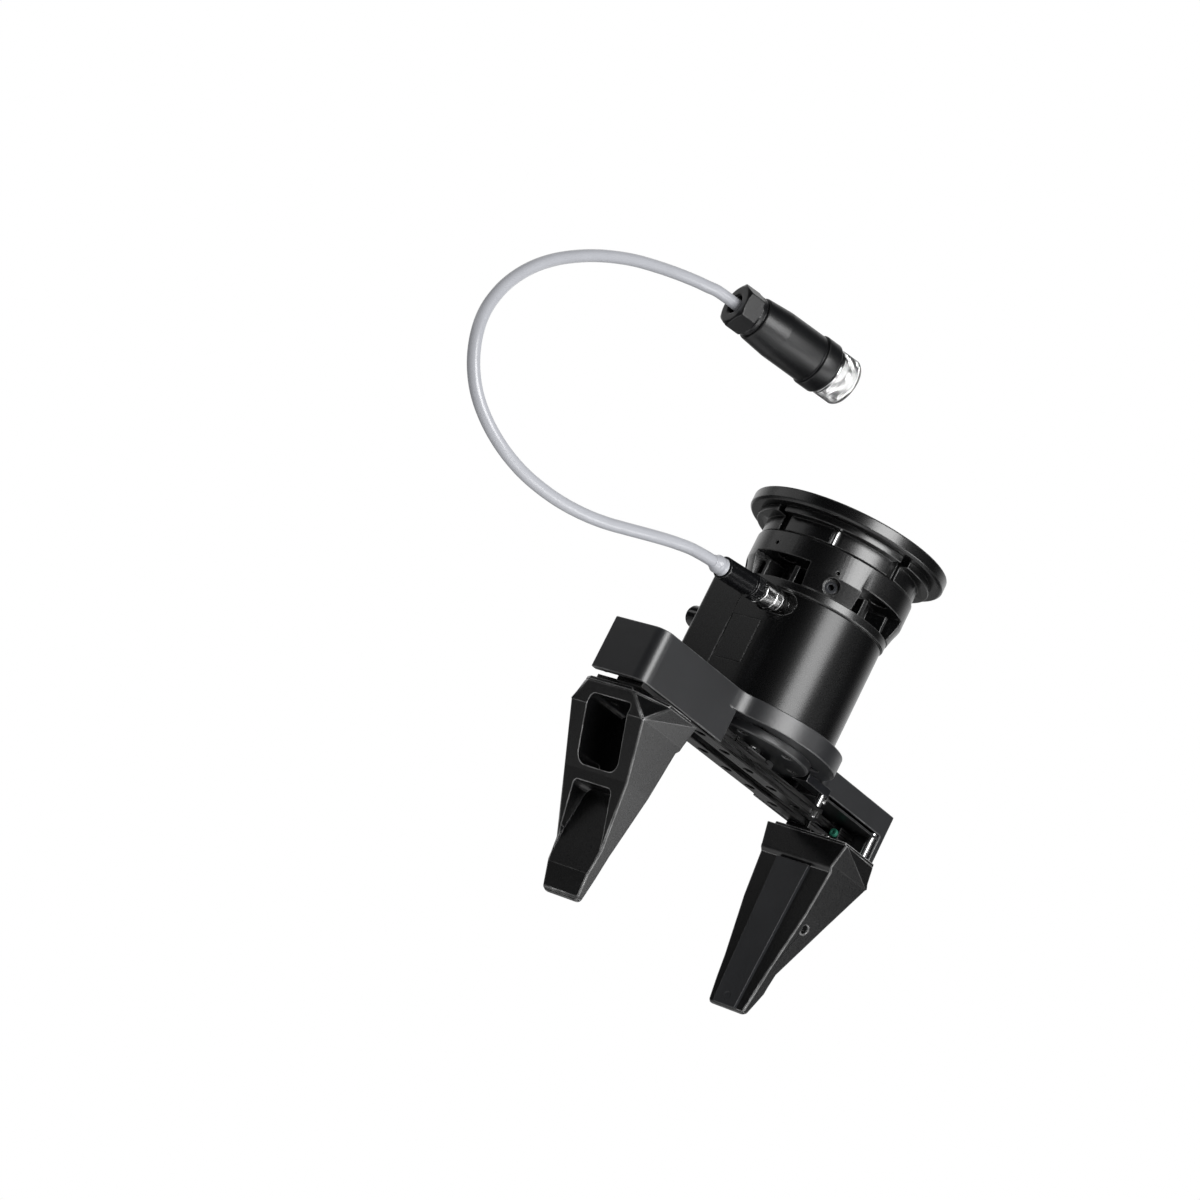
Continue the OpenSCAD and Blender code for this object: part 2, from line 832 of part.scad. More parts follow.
finger_bolts = [[-64, 4.5], [-54, 4.5], [-58.5, 11.5]];

module left_jaw_plate() {
    plate_half = neck_half - 0.1;
    color([0.1, 0.1, 0.11])
    difference() {
        translate([0, 0, z_finger])
            linear_extrude(z_carriage - z_finger)
                rounded_plate([-finger_open - finger_depth + 0.1, -plate_half],
                    [-finger_open - 1.5, plate_half], 1);
        translate([-finger_open, 0, 0]) corner_facets();
        for (p = finger_bolts)
            translate([p[0], p[1], z_finger - 1]) cylinder(r = 1.25, h = 4, $fn = 32);
    }
}

module right_jaw_plate() {
    other_half() left_jaw_plate();
}

module left_finger_screws() {
    color([0.8, 0.8, 0.82])
    for (p = finger_bolts)
        translate([p[0], p[1], z_carriage]) cap_screw(1.25, 5.5, 2.1, 1);
}

module right_finger_screws() {
    other_half() left_finger_screws();
}

// Side view of a finger, with its depth along -X
module finger_profile() {
    tip_r = 1.8;
    tip_cut = 0.8;
    polygon([[0, z_finger], [-finger_depth, z_finger], [-finger_depth, neck_z],
        [-bend_t, bend_z], [-slope_t, slope_z], [-ramp_t, ramp_z], [-tip_t, z_tip + tip_cut],
        [-tip_t + tip_cut, z_tip], [-tip_r, z_tip], [-tip_r * 0.3, z_tip + tip_r * 0.3],
        [0, z_tip + tip_r]]);
}

// Front view of a finger, with its width along Y
module finger_front() {
    tip = finger_w_tip / 2;
    top = finger_w_top / 2;
    right = [[top, z_finger], [neck_half, neck_z], [bend_half, bend_z], [slope_half, slope_z],
        [ramp_half, ramp_z], [tip, z_tip + 1], [tip - 1, z_tip]];
    left = [for (i = [len(right) - 1 : -1 : 0]) [-right[i][0], right[i][1]]];
    polygon(concat(right, left));
}

// Plan of a finger's top, narrower on the outer side
module finger_plan() {
    top = finger_w_top / 2;
    draft = (top - neck_half) / finger_depth;
    outer = neck_half - draft;
    polygon([[1, top + draft], [-finger_depth - 1, outer], [-finger_depth - 1, -outer],
        [1, -top - draft]]);
}

// Opening of the upper pocket in front view, with large rounds at its foot
module upper_mouth() {
    top_z = -99.9;
    foot_z = -122.6;
    half = 9.7;
    top_r = 1.8;
    foot_r = 4;
    hull()
        for (s = [-1, 1]) {
            translate([s * (half - top_r), top_z - top_r]) circle(top_r, $fn = 32);
            translate([s * (half - foot_r), foot_z + foot_r]) circle(foot_r, $fn = 48);
        }
}

// Opening of the lower pocket in front view: it widens until its walls run out at the tip
module lower_mouth() {
    top_r = 1.8;
    half = 9.1;
    wide = 10.1;
    wide_z = -143;
    hull() {
        for (s = [-1, 1])
            translate([s * (half - top_r), lower_z - top_r]) circle(top_r, $fn = 32);
        polygon([[-wide, wide_z], [wide, wide_z], [0, wide_z + 1]]);
    }
    polygon([[-wide, wide_z + eps], [wide, wide_z + eps], [ramp_half - 0.15, ramp_z],
        [-ramp_half + 0.15, ramp_z]]);
}

// The lower pocket's floor rises to the outer side at the tip
module lower_pocket() {
    intersection() {
        translate([-60, 0, 0]) rotate([90, 0, 90]) linear_extrude(60) lower_mouth();
        rotate([90, 0, 0])
            translate([0, 0, -15])
                linear_extrude(30)
                    polygon([[-pocket_t, lower_z + 1], [-ramp_t - 0.02, ramp_z],
                        [-40, ramp_z], [-40, lower_z + 1]]);
    }
}

// Cuts a slanted facet off one outer top corner of a finger, from y along its top edge
module corner_facet(y, yaw, rise) {
    translate([-finger_depth, y, z_finger])
        rotate([0, -rise, yaw])
            translate([0, -25, -25]) cube([25, 50, 50]);
}

// The wide facet on the front corner and the narrow one on the back corner
module corner_facets() {
    corner_facet(-7.3, -140.4, 36.4);
    corner_facet(14, 149.5, 11.6);
}

// The gripping side below its top band, where it is set back and the pad stands on it
module grip_recess() {
    rotate([90, 0, 0])
        translate([0, 0, -30])
            linear_extrude(60)
                polygon([[pad_seat, pad_top + pad_slant], [-pad_seat, pad_top - pad_slant],
                    [-pad_seat, z_tip - 1], [pad_seat, z_tip - 1]]);
}

module left_finger() {
    pin_hole = [-5.3, -128.4];
    color([0.13, 0.13, 0.14])
    translate([-finger_open, 0, 0])
    difference() {
        intersection() {
            rotate([90, 0, 0])
                translate([0, 0, -30]) linear_extrude(60) finger_profile();
            translate([-30, 0, 0])
                rotate([90, 0, 90]) linear_extrude(60) finger_front();
            translate([0, 0, z_tip - 1]) linear_extrude(finger_len + 2) finger_plan();
        }
        translate([-60, 0, 0])
            rotate([90, 0, 90]) linear_extrude(60 - pocket_t) upper_mouth();
        lower_pocket();
        corner_facets();
        grip_recess();
        // Threaded holes for the finger screws, and a pin hole in the back side
        for (p = finger_bolts)
            translate([p[0] + finger_open, p[1], z_finger - 4.4])
                cylinder(r = 1.25, h = 8, $fn = 32);
        translate([pin_hole[0], 0, pin_hole[1]]) bar_y(1.5, 11.4, 20, $fn = 32);
    }
}

module right_finger() {
    other_half() left_finger();
}

module left_pad() {
    dimple_z = -161;
    pad_head = pad_top - pad_slant - 0.2;
    color([0.10, 0.10, 0.11])
    translate([-finger_open, 0, 0])
    difference() {
        translate([-pad_seat, 0, 0])
            rotate([90, 0, 90])
                linear_extrude(pad_seat + pad_proud)
                    polygon([[-pad_w / 2, pad_head], [pad_w / 2, pad_head],
                        [pad_w_foot / 2, pad_foot], [-pad_w_foot / 2, pad_foot]]);
        translate([0, 0, dimple_z]) bar_x(1.6, pad_proud - 0.3, 2, $fn = 32);
    }
}

module right_pad() {
    other_half() left_pad();
}

// ---------- cable and plugs ----------

function unit(v) = v / norm(v);

function tangent(p, i) =
    unit(p[min(i + 1, len(p) - 1)] - p[max(i - 1, 0)]);

// The ring of points round route point i, across the route's direction
function ring_points(p, i, r, sides) =
    let (t = tangent(p, i), u = unit(cross(t, [0, 1, 0])), w = cross(t, u))
    [for (k = [0 : sides - 1])
        p[i] + r * (cos(360 * k / sides) * u + sin(360 * k / sides) * w)];

module tube(p, r, sides) {
    rings = len(p);
    points = [for (i = [0 : rings - 1]) each ring_points(p, i, r, sides)];
    sides_faces = [for (i = [0 : rings - 2], k = [0 : sides - 1])
        let (a = i * sides + k, b = i * sides + (k + 1) % sides)
        each [[a, b, b + sides], [a, b + sides, a + sides]]];
    first = [for (k = [0 : sides - 1]) sides - 1 - k];
    last = [for (k = [0 : sides - 1]) (rings - 1) * sides + k];
    polyhedron(points, concat([first, last], sides_faces));
}

module cable() {
    color([0.78, 0.79, 0.81]) tube(route, cable_d / 2, cable_sides);
}

// The tapered strain relief behind the small plug
module m8_boot() {
    color([0.8, 0.81, 0.83])
    on_m8_axis()
        rotate([0, 90, 0])
            rotate_extrude()
                polygon([[0, -31], [cable_d / 2 + 0.2, -31], [3.1, -28.5], [3.3, -27.5],
                    [3, -25], [0, -25]]);
}

module m8_plug_body() {
    color([0.07, 0.07, 0.08])
    on_m8_axis()
        rotate([0, 90, 0])
            rotate_extrude()
                polygon([[0, -25], [3.6, -25], [4.1, -24.5], [4.1, -10], [4.5, -9.6],
                    [4.5, -5.2], [4.2, -4.9], [3.2, -4.9], [3.2, 0], [0, 0]]);
}

module m8_plug_nut() {
    color([0.8, 0.81, 0.83])
    on_m8_axis()
        rotate([0, 90, 0])
            rotate_extrude()
                polygon([[3.28, -4.6], [4.2, -4.6], [4.5, -4.3], [4.5, 0.6],
                    [4.3, 0.8], [4.3, 1.2], [4.5, 1.4], [4.5, 4.3], [4.3, 4.6],
                    [4.02, 4.6], [4.02, -0.3], [3.28, -0.3]]);
}

module on_m12_axis() {
    translate(m12_pos) rotate([0, 0, m12_turn]) rotate([0, 90, 0]) children();
}

module m12_cable_nut() {
    color([0.05, 0.05, 0.06])
    on_m12_axis()
        difference() {
            union() {
                cylinder(r = 8.6, h = 7.5, $fn = 6);
                translate([0, 0, 7.5 - eps]) cylinder(r = 7.6, h = 1.5);
            }
            translate([0, 0, -eps]) cylinder(r = 3.4, h = 2.66);
        }
}

module m12_plug_body() {
    color([0.05, 0.05, 0.06])
    on_m12_axis()
        rotate_extrude()
            polygon([[0, 9], [7.9, 9], [8.2, 9.3], [9.2, 20], [9.2, 36], [9.8, 37],
                [9.8, 42.5], [9.2, 43.2], [m12_core_r, 43.2], [m12_core_r, 51], [0, 51]]);
}

module m12_plug_nut() {
    color([0.8, 0.81, 0.83])
    on_m12_axis()
        rotate_extrude()
            polygon([[m12_core_r + 0.08, 43.5], [8.6, 43.5], [9, 43.9], [9, 52.6], [8.6, 53],
                [5.6, 53], [5.6, 46], [m12_core_r + 0.08, 46]]);
}

// ---------- nodes ----------

adapter_ring();
coupling_neck();
dowel_pin();
mount_collar();
collar_screws();
hub_core();
top_band();
body_shell();
rear_cover();
cover_screws();
blank_label();
data_socket();
port_cap();
encoder();
motor();
gearbox();
control_board();
base_plate();
base_screws();
gear_cover();
gear_cover_screws();
upper_bearing();
pinion();
lower_bearing();
pinion_bridge();
front_rail();
back_rail();
front_rail_hanger();
back_rail_hanger();
front_rail_nut();
back_rail_nut();
left_guard_plate();
right_guard_plate();
guard_screws();
arm_standoffs();
rail_posts();
left_carriage();
right_carriage();
left_end_cap();
right_end_cap();
left_rack();
right_rack();
left_rack_screws();
right_rack_screws();
left_jaw_plate();
right_jaw_plate();
left_finger_screws();
right_finger_screws();
left_finger();
right_finger();
left_pad();
right_pad();
cable();
m8_boot();
m8_plug_body();
m8_plug_nut();
m12_plug_body();
m12_cable_nut();
m12_plug_nut();
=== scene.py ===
"""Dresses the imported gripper: rounded edges, finishes, the cable and its plugs.

Lengths are in metres, in the same frame as the solids: the origin is the middle of
the adapter ring's robot-side face, +Z points to the robot, and the fingers open and
close along X.
"""

import json
import math

import bmesh
import bpy
import numpy as np
from mathutils import Matrix


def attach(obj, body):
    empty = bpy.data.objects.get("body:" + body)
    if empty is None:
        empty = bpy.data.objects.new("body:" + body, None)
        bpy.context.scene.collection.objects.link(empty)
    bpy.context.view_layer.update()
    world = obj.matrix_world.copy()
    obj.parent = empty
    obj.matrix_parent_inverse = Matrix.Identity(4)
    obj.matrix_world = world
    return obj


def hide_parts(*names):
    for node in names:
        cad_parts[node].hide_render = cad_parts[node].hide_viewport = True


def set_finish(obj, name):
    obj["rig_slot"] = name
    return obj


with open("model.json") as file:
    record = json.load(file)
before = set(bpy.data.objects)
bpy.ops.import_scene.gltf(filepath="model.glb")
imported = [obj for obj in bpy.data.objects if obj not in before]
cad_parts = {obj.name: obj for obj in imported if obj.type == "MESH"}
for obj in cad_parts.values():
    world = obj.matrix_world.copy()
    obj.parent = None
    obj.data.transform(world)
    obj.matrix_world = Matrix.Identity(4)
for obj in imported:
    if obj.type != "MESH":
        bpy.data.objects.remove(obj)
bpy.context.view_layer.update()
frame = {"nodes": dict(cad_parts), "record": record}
scene = bpy.context.scene
MM = 0.001

# ---------------------------------------------------------------- sizes

CABLE_RADIUS = 2.15 * MM
CABLE_ROUTE = MM * np.array(
    [
        [-62.83, -5, -42.04], [-65.81, -5, -42.35], [-70.5, -5, -43], [-75.5, -5, -43.9],
        [-84, -4.5, -46.1], [-93, -4, -48.9], [-102.5, -3, -52], [-112, -2, -55],
        [-121.5, -1, -57.2], [-131.5, 0.5, -58.5], [-141.5, 2, -58.7], [-151, 3.5, -57.8],
        [-160.5, 5.5, -55.2], [-169, 8, -50.8], [-176, 10.5, -44.8], [-180.8, 13, -37],
        [-183, 15.5, -28], [-182.3, 18, -19], [-179.2, 20, -10], [-174.2, 22, -1.8],
        [-168, 23.5, 5.8], [-160.5, 25, 12.8], [-152.3, 26.3, 19], [-144, 27.4, 24.4],
        [-135.2, 28.4, 29.3], [-126.3, 29.1, 33.6], [-117, 29.6, 37.3], [-107.3, 29.7, 40.7],
        [-97.5, 29.1, 43.6], [-91.5, 28.3, 45], [-86.5, 27.2, 46], [-77, 24.2, 46],
    ]
)
SMALL_PLUG_MOUTH = (-32.0 * MM, -5.0 * MM, -38.8 * MM)
SMALL_PLUG_TILT = math.radians(6.0)
LARGE_PLUG_MOUTH = (-79.5 * MM, 25.0 * MM, 46.0 * MM)
LARGE_PLUG_TURN = math.radians(-17.5)

# The toothed strip on the left jaw plate, in mm
STRIP_X = (-71.0, -52.0)
STRIP_Y = (0.5, 11.0)
STRIP_BOTTOM = -94.45
STRIP_MIDDLE = -93.8
STRIP_TOOTH_DEPTH = 0.5
STRIP_TOOTH_PITCH = 3.0


# ---------------------------------------------------------------- camera


CAMERA_RIGHT = (0.57357783, -0.68850903, 0.44380603)
CAMERA_UP = (-0.46094508, 0.1765876, 0.86968181)
CAMERA_BACK = (-0.67715442, -0.70340041, -0.21607812)
CAMERA_PLACE = (-0.7818, -0.7119, -0.2948)
CAMERA_LENS = 92.37


def add_camera():
    """The viewing angle, as the camera's own right, up and back axes and its place."""
    data = bpy.data.cameras.new("camera")
    data.sensor_width = 36.0
    data.lens = CAMERA_LENS
    data.clip_start = 0.01
    data.clip_end = 20.0
    camera = bpy.data.objects.new("camera", data)
    scene.collection.objects.link(camera)
    columns = Matrix((CAMERA_RIGHT, CAMERA_UP, CAMERA_BACK)).transposed()
    camera.matrix_world = Matrix.Translation(CAMERA_PLACE) @ columns.to_4x4()
    scene.camera = camera


add_camera()

# ---------------------------------------------------------------- meshes

# Edges sharper than these angles, in degrees, are kept crisp in shading
PIECE_SMOOTH = 35.0
CABLE_SMOOTH = 60.0
# The largest share of an outline's side that the curve at one of its corners takes
LARGEST_REACH = 0.45


def new_piece(name, vertices, faces, body):
    """A closed mesh piece with its doubles merged and its faces turned outwards."""
    mesh = bpy.data.meshes.new(name)
    mesh.from_pydata(vertices.tolist(), [], faces.tolist())
    shape = bmesh.new()
    shape.from_mesh(mesh)
    bmesh.ops.remove_doubles(shape, verts=shape.verts, dist=1e-7)
    bmesh.ops.recalc_face_normals(shape, faces=shape.faces)
    shape.to_mesh(mesh)
    shape.free()
    mesh.shade_smooth()
    mesh.set_sharp_from_angle(angle=math.radians(PIECE_SMOOTH))
    piece = bpy.data.objects.new(name, mesh)
    scene.collection.objects.link(piece)
    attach(piece, body)
    return piece


def rounded(outline, radius, steps=4):
    """The outline with each inner corner replaced by a curve.

    The curve leaves the outline at most radius before the corner and meets it again at
    most radius after it. It is the quadratic curve whose control point is the corner.
    """
    points = np.asarray(outline, float)
    before, corner, after = points[:-2], points[1:-1], points[2:]
    into, out = before - corner, after - corner
    length_in = np.linalg.norm(into, axis=1)
    length_out = np.linalg.norm(out, axis=1)
    reach_in = np.minimum(radius, length_in * LARGEST_REACH)
    reach_out = np.minimum(radius, length_out * LARGEST_REACH)
    start = corner + into * (reach_in / length_in)[:, None]
    end = corner + out * (reach_out / length_out)[:, None]
    t = np.linspace(0.0, 1.0, steps)[None, :, None]
    curve = (
        (1 - t) ** 2 * start[:, None]
        + 2 * t * (1 - t) * corner[:, None]
        + t**2 * end[:, None]
    )
    return np.vstack([points[:1], curve.reshape(-1, 2), points[-1:]])


def axis_frame(direction):
    """The direction at unit length, and two unit vectors across it that complete it to
    a right-handed set. The direction isn't along Z."""
    d = np.asarray(direction, float)
    d = d / np.linalg.norm(d)
    side = np.cross([0.0, 0.0, 1.0], d)
    side = side / np.linalg.norm(side)
    return d, side, np.cross(d, side)


def ring_faces(rows, sides):
    """The quads between rows of points that each go round in the same number of sides."""
    i, j = np.meshgrid(np.arange(rows - 1), np.arange(sides), indexing="ij")
    k = (j + 1) % sides
    return np.stack(
        [i * sides + j, i * sides + k, (i + 1) * sides + k, (i + 1) * sides + j], axis=-1
    ).reshape(-1, 4)


def turned(name, outline, origin, direction, body, sides, relief=None):
    """A turned piece: the outline (place along the axis, radius) goes round the axis.

    relief, if given, takes the grids of place, angle and radius and gives the radius
    that the piece has there. An outline that ends where it starts makes a ring, and
    any other starts and ends on the axis.
    """
    outline = np.asarray(outline, float)
    rows = len(outline)
    angle = np.linspace(0.0, 2 * math.pi, sides, endpoint=False)
    place, theta = np.meshgrid(outline[:, 0], angle, indexing="ij")
    radius = np.repeat(outline[:, 1:2], sides, axis=1)
    if relief is not None:
        radius = relief(place, theta, radius)
    d, u, w = axis_frame(direction)
    points = (
        np.asarray(origin, float)
        + place[..., None] * d
        + (radius * np.cos(theta))[..., None] * u
        + (radius * np.sin(theta))[..., None] * w
    )
    return new_piece(name, points.reshape(-1, 3), ring_faces(rows, sides), body)


def stretched(outline, step):
    """The outline with points added so that none are further apart than step."""
    points = np.asarray(outline, float)
    made = [points[:1]]
    for a, b in zip(points[:-1], points[1:]):
        count = max(1, math.ceil(np.linalg.norm(b - a) / step))
        t = np.linspace(0.0, 1.0, count + 1)[1:, None]
        made.append(a + (b - a) * t)
    return np.vstack(made)


def smooth_path(points, per_span=8):
    """Points on the Catmull-Rom curve through the given ones.

    Each span is the cubic whose slope at a point is half the step between that
    point's two neighbours, and an end point's missing neighbour is its mirror image.
    """
    p = np.vstack([2 * points[:1] - points[1:2], points, 2 * points[-1:] - points[-2:-1]])
    a, b, c, d = p[:-3, None], p[1:-2, None], p[2:-1, None], p[3:, None]
    t = np.linspace(0.0, 1.0, per_span, endpoint=False)[None, :, None]
    curve = 0.5 * (
        2 * b + (c - a) * t + (2 * a - 5 * b + 4 * c - d) * t**2 + (3 * b - a - 3 * c + d) * t**3
    )
    return np.vstack([curve.reshape(-1, 3), points[-1:]])


def cable_tube(name, path, radius, body, sides=24):
    """A round tube along the path, closed at both ends, with its length as UV's v.

    Each ring lies across the path, and its first spoke is the one before it with the
    part along the path taken away, so that the tube doesn't twist.
    """
    tangents = np.gradient(path, axis=0)
    tangents /= np.linalg.norm(tangents, axis=1)[:, None]
    spokes = np.empty_like(path)
    spoke = np.cross(tangents[0], [0.0, 1.0, 0.0])
    for row, tangent in enumerate(tangents):
        spoke = spoke - tangent * spoke.dot(tangent)
        spoke = spoke / np.linalg.norm(spoke)
        spokes[row] = spoke
    binormals = np.cross(tangents, spokes)
    angle = np.linspace(0.0, 2 * math.pi, sides, endpoint=False)
    rings = (
        path[:, None]
        + radius * np.cos(angle)[None, :, None] * spokes[:, None]
        + radius * np.sin(angle)[None, :, None] * binormals[:, None]
    )
    count = len(path)
    points = np.vstack([rings.reshape(-1, 3), path[:1], path[-1:]])
    skin = ring_faces(count, sides)
    rim = np.arange(sides)
    after = (rim + 1) % sides
    base = (count - 1) * sides
    first = np.stack([after, rim, np.full(sides, count * sides)], axis=-1)
    last = np.stack([base + rim, base + after, np.full(sides, count * sides + 1)], axis=-1)
    mesh = bpy.data.meshes.new(name)
    mesh.from_pydata(points.tolist(), [], skin.tolist() + first.tolist() + last.tolist())
    travelled = np.concatenate([[0.0], np.cumsum(np.linalg.norm(np.diff(path, axis=0), axis=1))])
    rows_of = np.minimum(np.arange(len(points)) // sides, count - 1)
    corner_points = np.empty(len(mesh.loops), dtype=np.int32)
    mesh.loops.foreach_get("vertex_index", corner_points)
    around = np.zeros(len(mesh.loops))
    skin_corners = len(skin) * 4
    corner_turns = np.stack([rim, rim + 1, rim + 1, rim], axis=-1).ravel() / sides
    around[:skin_corners] = np.tile(corner_turns, count - 1)
    uv = np.stack([around, travelled[rows_of[corner_points]] / (2 * math.pi * radius)], axis=-1)
    mesh.uv_layers.new(name="UVMap").data.foreach_set("uv", uv.astype(np.float32).ravel())
    mesh.shade_smooth()
    mesh.set_sharp_from_angle(angle=math.radians(CABLE_SMOOTH))
    piece = bpy.data.objects.new(name, mesh)
    scene.collection.objects.link(piece)
    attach(piece, body)
    return piece


# ---------------------------------------------------------------- cable and plugs


def stand_for(piece, node, slot):
    """The piece takes the place of a solid and the finish of that slot."""
    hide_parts(node)
    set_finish(piece, slot)


def add_small_plug():
    """The screwed plug on the body: a pale strain relief, a sleeve and a bright nut."""
    axis = (math.cos(SMALL_PLUG_TILT), 0.0, math.sin(SMALL_PLUG_TILT))
    boot = turned(
        "m8_strain_relief",
        MM
        * rounded(
            [[-31.0, 0], [-31.0, 2.3], [-30.4, 2.4], [-28.9, 2.95], [-28.6, 3.25], [-27.3, 3.25],
             [-27.0, 2.9], [-26.0, 2.9], [-25.1, 3.3], [-25.0, 0]],
            0.35,
        ),
        SMALL_PLUG_MOUTH, axis, "frame", 64,
    )
    stand_for(boot, "m8_boot", "cable_grey")

    def grip_ribs(place, theta, radius):
        """Thirty shallow round ribs along the grip ring."""
        on_ring = (place > -9.3 * MM) & (place < -5.4 * MM) & (radius > 4.2 * MM)
        return radius - on_ring * 0.28 * MM * (0.5 - 0.5 * np.cos(30 * theta))

    sleeve = turned(
        "m8_sleeve",
        MM
        * stretched(
            rounded(
                [[-24.7, 0], [-24.7, 3.5], [-25, 3.8], [-24.9, 4.1], [-10.2, 4.1], [-10, 3.9],
                 [-9.8, 3.9], [-9.6, 4.5], [-5.2, 4.5], [-4.9, 4.2], [-4.9, 3.2], [0, 3.2], [0, 0]],
                0.25,
            ),
            0.7,
        ),
        SMALL_PLUG_MOUTH, axis, "frame", 240, grip_ribs,
    )
    stand_for(sleeve, "m8_plug_body", "black_plastic")

    def grip_flats(place, theta, radius):
        """Twelve rounded flats on the end that is turned by hand."""
        gripped = (place > 1.3 * MM) & (radius > 4.35 * MM)
        return radius - gripped * 0.12 * MM * (0.5 - 0.5 * np.cos(12 * theta)) ** 2

    nut = turned(
        "m8_coupling_nut",
        MM
        * stretched(
            rounded(
                [[-0.3, 3.28], [-4.6, 3.28], [-4.6, 4.2], [-4.3, 4.5], [0.6, 4.5], [0.8, 4.3],
                 [1.2, 4.3], [1.4, 4.5], [4.3, 4.5], [4.6, 4.2], [4.6, 4.02],
                 [-0.3, 4.02], [-0.3, 3.28]],
                0.2,
            ),
            0.6,
        ),
        SMALL_PLUG_MOUTH, axis, "m8_nut", 192, grip_flats,
    )
    stand_for(nut, "m8_plug_nut", "plug_chrome")
    return [boot, sleeve, nut]


def add_large_plug():
    """The large plug: a six-sided cable nut, a long sleeve and a knurled ring."""
    axis = (math.cos(LARGE_PLUG_TURN), math.sin(LARGE_PLUG_TURN), 0.0)

    def six_flats(place, theta, radius):
        """Six flats on the part that takes the spanner: the radius is at most the
        flat's distance over the cosine of the angle from the middle of the flat."""
        flat = 7.45 * MM
        from_middle = (theta + math.pi / 6) % (math.pi / 3) - math.pi / 6
        on_hexagon = (place > 0.4 * MM) & (place < 7.5 * MM)
        return np.where(on_hexagon, np.minimum(radius, flat / np.cos(from_middle)), radius)

    cable_nut = turned(
        "m12_gland_nut",
        MM
        * stretched(
            rounded(
                [[2.66, 0], [2.66, 3.4], [0.5, 3.4], [0, 4.0], [0, 6.9], [0.9, 8.55], [6.6, 8.55],
                 [7.5, 7.6], [9.0, 7.6], [9.0, 0]],
                0.3,
            ),
            0.9,
        ),
        LARGE_PLUG_MOUTH, axis, "frame", 192, six_flats,
    )
    stand_for(cable_nut, "m12_cable_nut", "plug_black")
    sleeve = turned(
        "m12_sleeve",
        MM
        * rounded(
            [[9.0, 0], [9.0, 7.1], [9.5, 7.1], [9.5, 8.0], [10.0, 8.25], [20.0, 9.15], [20.6, 9.15],
             [35.8, 9.2], [36.1, 8.9], [36.6, 8.9], [36.8, 9.8], [42.6, 9.8], [43.2, 9.2],
             [43.2, 4.4], [51.0, 4.4], [51.0, 0]],
            0.25,
        ),
        LARGE_PLUG_MOUTH, axis, "frame", 128,
    )
    stand_for(sleeve, "m12_plug_body", "plug_black")

    def knurl(place, theta, radius):
        """Crossed knurling: two sets of slanted grooves, each a triangle wave of the
        angle plus or minus the place along the nut."""
        teeth, reach, depth = 84, 9.0 * MM, 0.3 * MM
        turns, climb = teeth * theta / (2 * math.pi), teeth / reach * place / (2 * math.pi)
        one, two = np.abs((turns + climb) % 1 - 0.5), np.abs((turns - climb) % 1 - 0.5)
        gripped = (place > 44.4 * MM) & (place < 51.6 * MM) & (radius > 8.7 * MM)
        return radius - gripped * depth * 2 * np.maximum(0.5 - 2 * one, 0.5 - 2 * two).clip(0)

    ring = turned(
        "m12_knurled_nut",
        MM
        * stretched(
            rounded(
                [[46, 4.48], [43.5, 4.48], [43.5, 8.6], [43.9, 9], [52.2, 9], [52.6, 8.6],
                 [53, 8.5], [53, 5.6], [46, 5.6], [46, 4.48]],
                0.2,
            ),
            0.22,
        ),
        LARGE_PLUG_MOUTH, axis, "m12_nut", 336, knurl,
    )
    stand_for(ring, "m12_plug_nut", "plug_chrome")
    return [cable_nut, sleeve, ring]


cable_path = smooth_path(CABLE_ROUTE)
cable = cable_tube("cable_sheath", cable_path, CABLE_RADIUS, "frame")
stand_for(cable, "cable", "cable_grey")
small_plug = add_small_plug()
large_plug = add_large_plug()

# ---------------------------------------------------------------- shader groups

# How fast the lighter edge paint, partly wear and partly a painted highlight, grows beside
# an edge, how near a wall keeps it off, and the share of it that the noise leaves on everywhere
RUB_AND_HIGHLIGHT_GAIN = 16.0
RUB_AND_HIGHLIGHT_CORNER = 1.2 * MM
RUB_AND_HIGHLIGHT_EVEN = 0.4

FLOAT = "NodeSocketFloat"
COLOUR = "NodeSocketColor"
VECTOR = "NodeSocketVector"


def new_group(name, inputs, outputs):
    """An empty shader group. Inputs are (name, kind, default), outputs (name, kind)."""
    group = bpy.data.node_groups.new(name, "ShaderNodeTree")
    for label, kind, default in inputs:
        socket = group.interface.new_socket(label, in_out="INPUT", socket_type=kind)
        if default is not None:
            socket.default_value = default
    for label, kind in outputs:
        group.interface.new_socket(label, in_out="OUTPUT", socket_type=kind)
    return group


def add_math(nodes, links, operation, first, second=None, clamp=False):
    """A Math node on the given sockets or numbers. Gives its output socket."""
    node = nodes.new("ShaderNodeMath")
    node.operation = operation
    node.use_clamp = clamp
    for socket, value in zip(node.inputs, (first, second)):
        if value is None:
            continue
        if isinstance(value, (int, float)):
            socket.default_value = value
        else:
            links.new(value, socket)
    return node.outputs[0]


def add_range(nodes, links, value, low, high, to=(0.0, 1.0), smooth=False):
    """A value moved from the range low to high to the range of to, kept within it.

    Each end of to is a number or a socket. Gives the node's output socket.
    """
    node = nodes.new("ShaderNodeMapRange")
    if smooth:
        node.interpolation_type = "SMOOTHSTEP"
    node.inputs["From Min"].default_value = low
    node.inputs["From Max"].default_value = high
    for label, end in zip(("To Min", "To Max"), to):
        if isinstance(end, float):
            node.inputs[label].default_value = end
        else:
            links.new(end, node.inputs[label])
    links.new(value, node.inputs["Value"])
    return node.outputs[0]


def add_noise(nodes, links, place, scale, detail):
    """A noise over the place, its scale from a socket. Gives its value's socket."""
    noise = nodes.new("ShaderNodeTexNoise")
    noise.inputs["Detail"].default_value = detail
    links.new(place, noise.inputs["Vector"])
    links.new(scale, noise.inputs["Scale"])
    return noise.outputs["Fac"]


